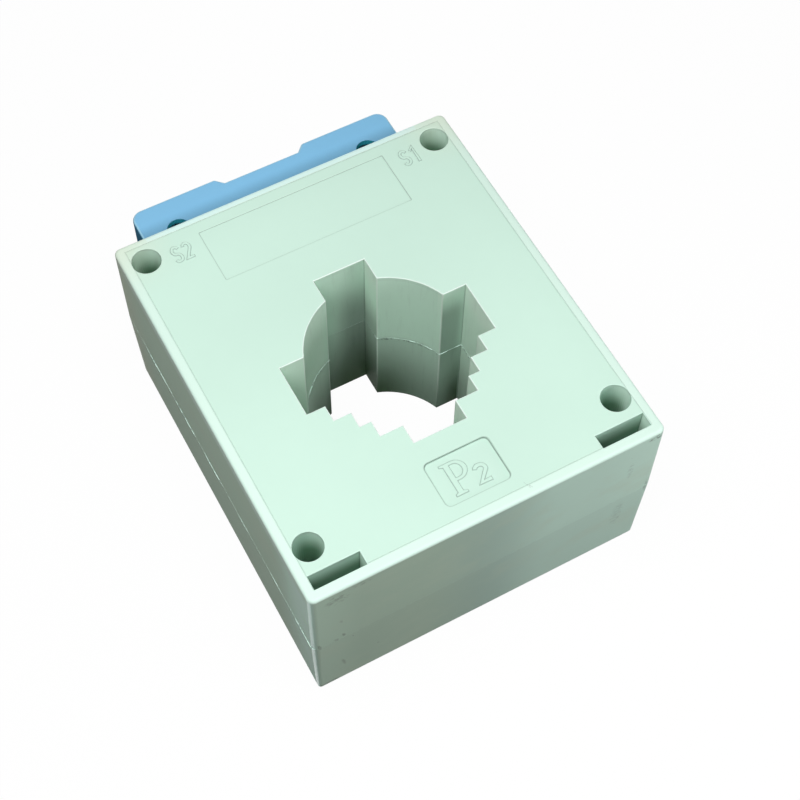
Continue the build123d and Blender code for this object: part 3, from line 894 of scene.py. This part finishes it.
class TRANSFORMER_OT_marks(bpy.types.Operator):
    """Make the terminal marks and the side mark on the face"""
    bl_idname = "transformer.marks"
    bl_label = "Terminal marks"

    def execute(self, context):
        settings = context.scene.transformer_marks
        colour = context.scene.transformer_case.colour
        # The marks' sloping sides get painted shade, darker by the factor given here
        material = moulded_plastic("mark_plastic", colour, sides=0.62)
        plaque_floor = FACE_Z - settings.plaque_depth
        tall, weight = 4.4, 0.72
        rows = [
            ("mark_s2_letter", letter_s(2.15, tall, weight), (-26.95, 39.5), FACE_Z),
            ("mark_s2_figure", figure_two(2.1, tall, weight), (-24.6, 39.5), FACE_Z),
            ("mark_s1_letter", letter_s(2.15, tall, weight), (25.3, 39.4), FACE_Z),
            ("mark_s1_figure", figure_one(1.6, tall, weight), (27.6, 39.4), FACE_Z),
            ("mark_p2_letter", letter_p(5.0, 7.3), (-1.75, -30.95), plaque_floor),
            ("mark_p2_figure", figure_two(3.1, 4.5, 0.95), (2.6, -32.3), plaque_floor),
        ]
        for name, outlines, centre, floor_z in rows:
            place = np.array(centre) * MM
            piece = raised_mark(name, outlines, place, floor_z, settings.height)
            dress(piece, material, "housing")
        return {"FINISHED"}


class TRANSFORMER_OT_joint(bpy.types.Operator):
    """Make the moulding flash along the joint of the shells, outside and in the window"""
    bl_idname = "transformer.joint"
    bl_label = "Joint flash"

    def execute(self, context):
        settings = context.scene.transformer_joint
        material = flash_plastic("flash_plastic_pale", context.scene.transformer_case.colour)
        spacing = 0.3 * MM
        corners = rounded_rectangle((-HALF_WIDTH, BASE_Y), (HALF_WIDTH, TOP_Y), 1.4 * MM)
        path, outward = dense(corners, spacing)
        left = np.clip((-outward[:, 0] - 0.5) * 4, 0, 1)
        strokes = np.clip((uneven(len(path), settings.seed, 28) - 0.5) * 4, 0.16, 1.0)
        self.lip("joint_flash_outside", path, outward, 0.03 + left * strokes, settings, material)
        path, outward = dense(window_corners() * MM, spacing)
        slot_end = np.abs(path[:, 1]) > (BORE + 0.1) * MM
        strokes = np.clip((uneven(len(path), settings.seed + 3, 50) - 0.3) * 2.5, 0.25, 1.0)
        self.lip("joint_flash_window", path, -outward, np.where(slot_end, 0.06, strokes), settings, material)
        return {"FINISHED"}

    def lip(self, name, path, outward, strength, settings, material):
        """A thin three-sided lip whose width follows an uneven line round the path."""
        count = len(path)
        width = settings.width * strength * (0.6 + 0.6 * uneven(count, settings.seed + 1, 160))
        flat = np.full(count, MM)
        across = np.stack([-0.03 * flat, width, width * 0.7, -0.03 * flat], axis=1)
        up = np.stack([0.03 * flat, 0.01 * flat, -0.6 * width, -1.4 * width], axis=1)
        line = np.column_stack([path, np.full(count, PARTING_Z)])
        normal = np.column_stack([outward, np.zeros(count)])
        points, faces = carried(line, normal, across, up)
        dress(piece_from(name, points, faces, 25.0), material, "housing")


class TRANSFORMER_OT_cover(bpy.types.Operator):
    """Give the terminal cover its blue plastic"""
    bl_idname = "transformer.cover"
    bl_label = "Terminal cover"

    def execute(self, context):
        settings = context.scene.transformer_cover
        cover = merged_copy("terminal_cover", "cover_shell")
        round_edges(cover, settings.edge_softness, cover_high.z)
        smooth_over(cover)
        dress(cover, cover_plastic("cover_plastic_blue", settings.colour), "cover")
        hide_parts("terminal_cover")
        return {"FINISHED"}


class TRANSFORMER_OT_terminals(bpy.types.Operator):
    """Finish the terminal pieces and cut a thread on each terminal screw"""
    bl_idname = "transformer.terminals"
    bl_label = "Terminals"

    def execute(self, context):
        metals = context.scene.transformer_metals
        brass = turned_metal("terminal_brass_rolled", metals.brass, 0.26)
        zinc = turned_metal("screw_zinc_plated", metals.zinc, 0.24)
        for name in TERMINALS:
            finish_nodes(brass, "terminal_plate_" + name, "terminal_nut_" + name)
            finish_nodes(zinc, "terminal_clamp_" + name, "spring_washer_" + name, "terminal_screw_" + name)
            screw_low, screw_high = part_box("terminal_screw_" + name)
            washer_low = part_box("spring_washer_" + name)[0]
            axis_x = (screw_low.x + screw_high.x) / 2
            axis_z = (screw_low.z + screw_high.z) / 2
            thread = self.thread("terminal_thread_" + name, (axis_x, axis_z), screw_low.y, washer_low.y,
                                 metals.thread_pitch)
            dress(thread, zinc, "screw_" + name)
        return {"FINISHED"}

    def thread(self, name, centre, low, high, pitch):
        """A helix of V section: at turn t the crest is at radius 2.12 mm, half a pitch between two roots."""
        per_turn = 36
        turns = (high - low) / pitch - 1.0
        turn = np.linspace(0, turns, int(turns * per_turn))
        angle = turn * 2 * math.pi
        fade = np.clip(np.minimum(turn, turns - turn) * 1.5, 0, 1)
        root, crest = 1.98 * MM, 0.14 * MM
        radius = np.stack([np.full(len(turn), root), root + crest * fade, np.full(len(turn), root)], axis=1)
        rise = low + pitch * (turn[:, None] + 0.5 + np.array([0.38, 0.0, -0.38]))
        points = np.stack([centre[0] + radius * np.cos(angle)[:, None], rise,
                           centre[1] + radius * np.sin(angle)[:, None]], axis=-1)
        faces = grid_faces(len(turn), 3).tolist()
        last = (len(turn) - 1) * 3
        faces += [[0, 1, 2], [last + 2, last + 1, last]]
        return piece_from(name, points, faces, 35.0)


class TRANSFORMER_OT_screws(bpy.types.Operator):
    """Make the four assembly screws with cross recesses"""
    bl_idname = "transformer.screws"
    bl_label = "Assembly screws"

    def execute(self, context):
        zinc = turned_metal("assembly_screw_zinc", context.scene.transformer_metals.zinc, 0.3)
        low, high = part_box("assembly_screws")
        head = 2.7 * MM
        seat = high.z - 2.0 * MM
        for x_name, x in (("left", low.x + head), ("right", high.x - head)):
            for y_name, y in (("base", low.y + head), ("top", high.y - head)):
                screw = self.screw(f"assembly_screw_{x_name}_{y_name}", (x, y), low.z, seat, high.z, head)
                dress(screw, zinc, "housing")
                if x_name == "left" and y_name == "base":
                    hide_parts("assembly_screws")
        return {"FINISHED"}

    def screw(self, name, centre, tip_z, seat_z, top_z, head):
        """A turned pan head and shank, its height a function of radius and angle.

        The head's top is a low dome less a cross: the cross is deep where either arm's distance is small."""
        around = 72
        radius = np.linspace(0.02, 1, 22) ** 0.8 * head * 0.93
        angle = np.linspace(0, 2 * math.pi, around, endpoint=False)
        grid_radius, grid_angle = np.meshgrid(radius, angle, indexing="ij")
        x, y = grid_radius * np.cos(grid_angle), grid_radius * np.sin(grid_angle)
        dome = top_z - 0.45 * MM * (grid_radius / head) ** 2.6
        narrow = np.minimum(np.abs(x + y), np.abs(x - y)) / math.sqrt(2)
        arm = np.clip((0.42 * MM - narrow) / (0.12 * MM), 0, 1)
        reach = np.clip((1.75 * MM - grid_radius) / (0.5 * MM), 0, 1)
        top = dome - 1.1 * MM * arm * reach
        rings = [np.stack([x, y, top], axis=-1)]
        shank, tip = 1.5 * MM, 0.2 * MM
        for ring_radius, ring_z in ((head, seat_z + 1.35 * MM), (head, seat_z), (shank, seat_z),
                                    (shank, tip_z + 0.6 * MM), (tip, tip_z)):
            ring = np.stack([ring_radius * np.cos(angle), ring_radius * np.sin(angle),
                             np.full(around, ring_z)], axis=-1)
            rings.append(ring[None])
        points = np.concatenate(rings)
        points[..., :2] += centre
        rows = len(points)
        faces = grid_faces(rows, around).tolist()
        faces += [list(range(around)), list(range((rows - 1) * around, rows * around))[::-1]]
        return piece_from(name, points, faces, 32.0)


class TRANSFORMER_OT_winding(bpy.types.Operator):
    """Finish the core, its tapes, the winding and the leads"""
    bl_idname = "transformer.winding"
    bl_label = "Wound core"

    def execute(self, context):
        copper = context.scene.transformer_metals.copper
        finish_nodes(strip_steel("core_strip_edges"), "core")
        finish_nodes(film_tape("core_tape_film", (0.80, 0.74, 0.48)), "core_tape")
        finish_nodes(film_tape("outer_tape_film", (0.86, 0.80, 0.42)), "outer_tape")
        finish_nodes(wound_wire("winding_copper", copper), "secondary_winding")
        finish_nodes(wire_sleeve("lead_sleeve_black"), "lead_s1", "lead_s2")
        return {"FINISHED"}


class TRANSFORMER_OT_stage(bpy.types.Operator):
    """Make the floor, the lights and the camera"""
    bl_idname = "transformer.stage"
    bl_label = "Studio"

    def execute(self, context):
        settings = context.scene.transformer_studio
        self.floor(settings.floor_grey)
        self.world(context.scene, settings.fill)
        self.softbox("softbox_overhead", (-0.062, -0.06, 0.28), 0.20, settings.softbox)
        self.softbox("softbox_near_right", (0.14, -0.17, 0.07), 0.08, settings.side_power)
        self.softbox("softbox_behind", (0.13, 0.26, 0.035), 0.08, settings.back_power)
        self.camera(context.scene, settings.lens)
        context.scene.view_settings.view_transform = "Standard"
        return {"FINISHED"}

    def seen(self, finish):
        """1 for rays that carry the background to the eye: camera, glossy and transmission rays."""
        outputs = finish.node("LightPath").socket.node.outputs
        camera, glossy, through = (Value(finish, outputs[name]) for name in
                                   ("Is Camera Ray", "Is Glossy Ray", "Is Transmission Ray"))
        return camera.bigger(glossy).bigger(through)

    def floor(self, grey):
        finish = Finish("floor_pale")
        white = (1.0, 1.0, 1.0, 1.0)
        light = finish.node("BsdfDiffuse", {"Color": white})
        dim = finish.node("BsdfDiffuse", {"Color": (grey, grey, grey, 1.0)})
        glow = finish.node("Emission", {"Color": white, "Strength": 1.0})
        shown = finish.node("MixShader", {0: 0.03, 1: glow, 2: light})
        finish.end(finish.node("MixShader", {0: self.seen(finish), 1: dim, 2: shown}))
        side, drop = 4.0, -1e-5
        corners = [(-side, -side, drop), (side, -side, drop), (side, side, drop), (-side, side, drop)]
        floor = piece_from("studio_floor", corners, [(0, 1, 2, 3)])
        floor.data.materials.append(finish.owner)

    def world(self, scene, fill):
        finish = Finish("studio_world", (1.0, 0.97, 0.90), bpy.data.worlds)
        seen = self.seen(finish)
        level = fill + seen * (1.0 - fill)
        finish.mix(seen, (1.0, 1.0, 1.0))
        background = finish.node("Background", {"Color": finish.tone, "Strength": level})
        scene.world = finish.end(background, "ShaderNodeOutputWorld")

    def softbox(self, name, place, size, power):
        """A square light at a place, turned to the middle of the object."""
        light = bpy.data.lights.new(name, "AREA")
        light.shape = "SQUARE"
        light.size = size
        light.energy = power
        lamp = linked(name, light)
        lamp.location = place
        lamp.rotation_euler = Vector(place).to_track_quat("Z", "Y").to_euler()

    def camera(self, scene, lens):
        data = bpy.data.cameras.new("photo_camera")
        data.sensor_width = 36.0
        data.lens = lens
        data.clip_start = 0.01
        data.clip_end = 20.0
        camera = linked("photo_camera", data)
        camera.location = (-0.081487, -0.149656, 0.318615)
        camera.rotation_euler = Euler((0.525578, -0.008904, -0.497839), "XYZ")
        scene.camera = camera


class TRANSFORMER_PT_panel(bpy.types.Panel):
    """Lists the transformer's pieces in the sidebar"""
    bl_label = "Transformer"
    bl_idname = "TRANSFORMER_PT_panel"
    bl_space_type = "VIEW_3D"
    bl_region_type = "UI"
    bl_category = "Transformer"

    def draw(self, context):
        for operator in OPERATORS:
            self.layout.operator(operator.bl_idname)


SETTINGS = {
    "transformer_case": CaseSettings,
    "transformer_marks": MarkSettings,
    "transformer_joint": JointSettings,
    "transformer_cover": CoverSettings,
    "transformer_metals": MetalSettings,
    "transformer_studio": StudioSettings,
}
OPERATORS = (
    TRANSFORMER_OT_case,
    TRANSFORMER_OT_marks,
    TRANSFORMER_OT_joint,
    TRANSFORMER_OT_cover,
    TRANSFORMER_OT_terminals,
    TRANSFORMER_OT_screws,
    TRANSFORMER_OT_winding,
    TRANSFORMER_OT_stage,
)
CLASSES = (*SETTINGS.values(), *OPERATORS, TRANSFORMER_PT_panel)


def register():
    for kind in CLASSES:
        bpy.utils.register_class(kind)
    for name, group in SETTINGS.items():
        setattr(bpy.types.Scene, name, PointerProperty(type=group))


def unregister():
    for name in SETTINGS:
        delattr(bpy.types.Scene, name)
    for kind in reversed(CLASSES):
        bpy.utils.unregister_class(kind)


def main():
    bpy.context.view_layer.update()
    register()
    bpy.ops.transformer.case()
    bpy.ops.transformer.marks()
    bpy.ops.transformer.joint()
    bpy.ops.transformer.cover()
    bpy.ops.transformer.terminals()
    bpy.ops.transformer.screws()
    bpy.ops.transformer.winding()
    bpy.ops.transformer.stage()


if __name__ == "__main__":
    main()
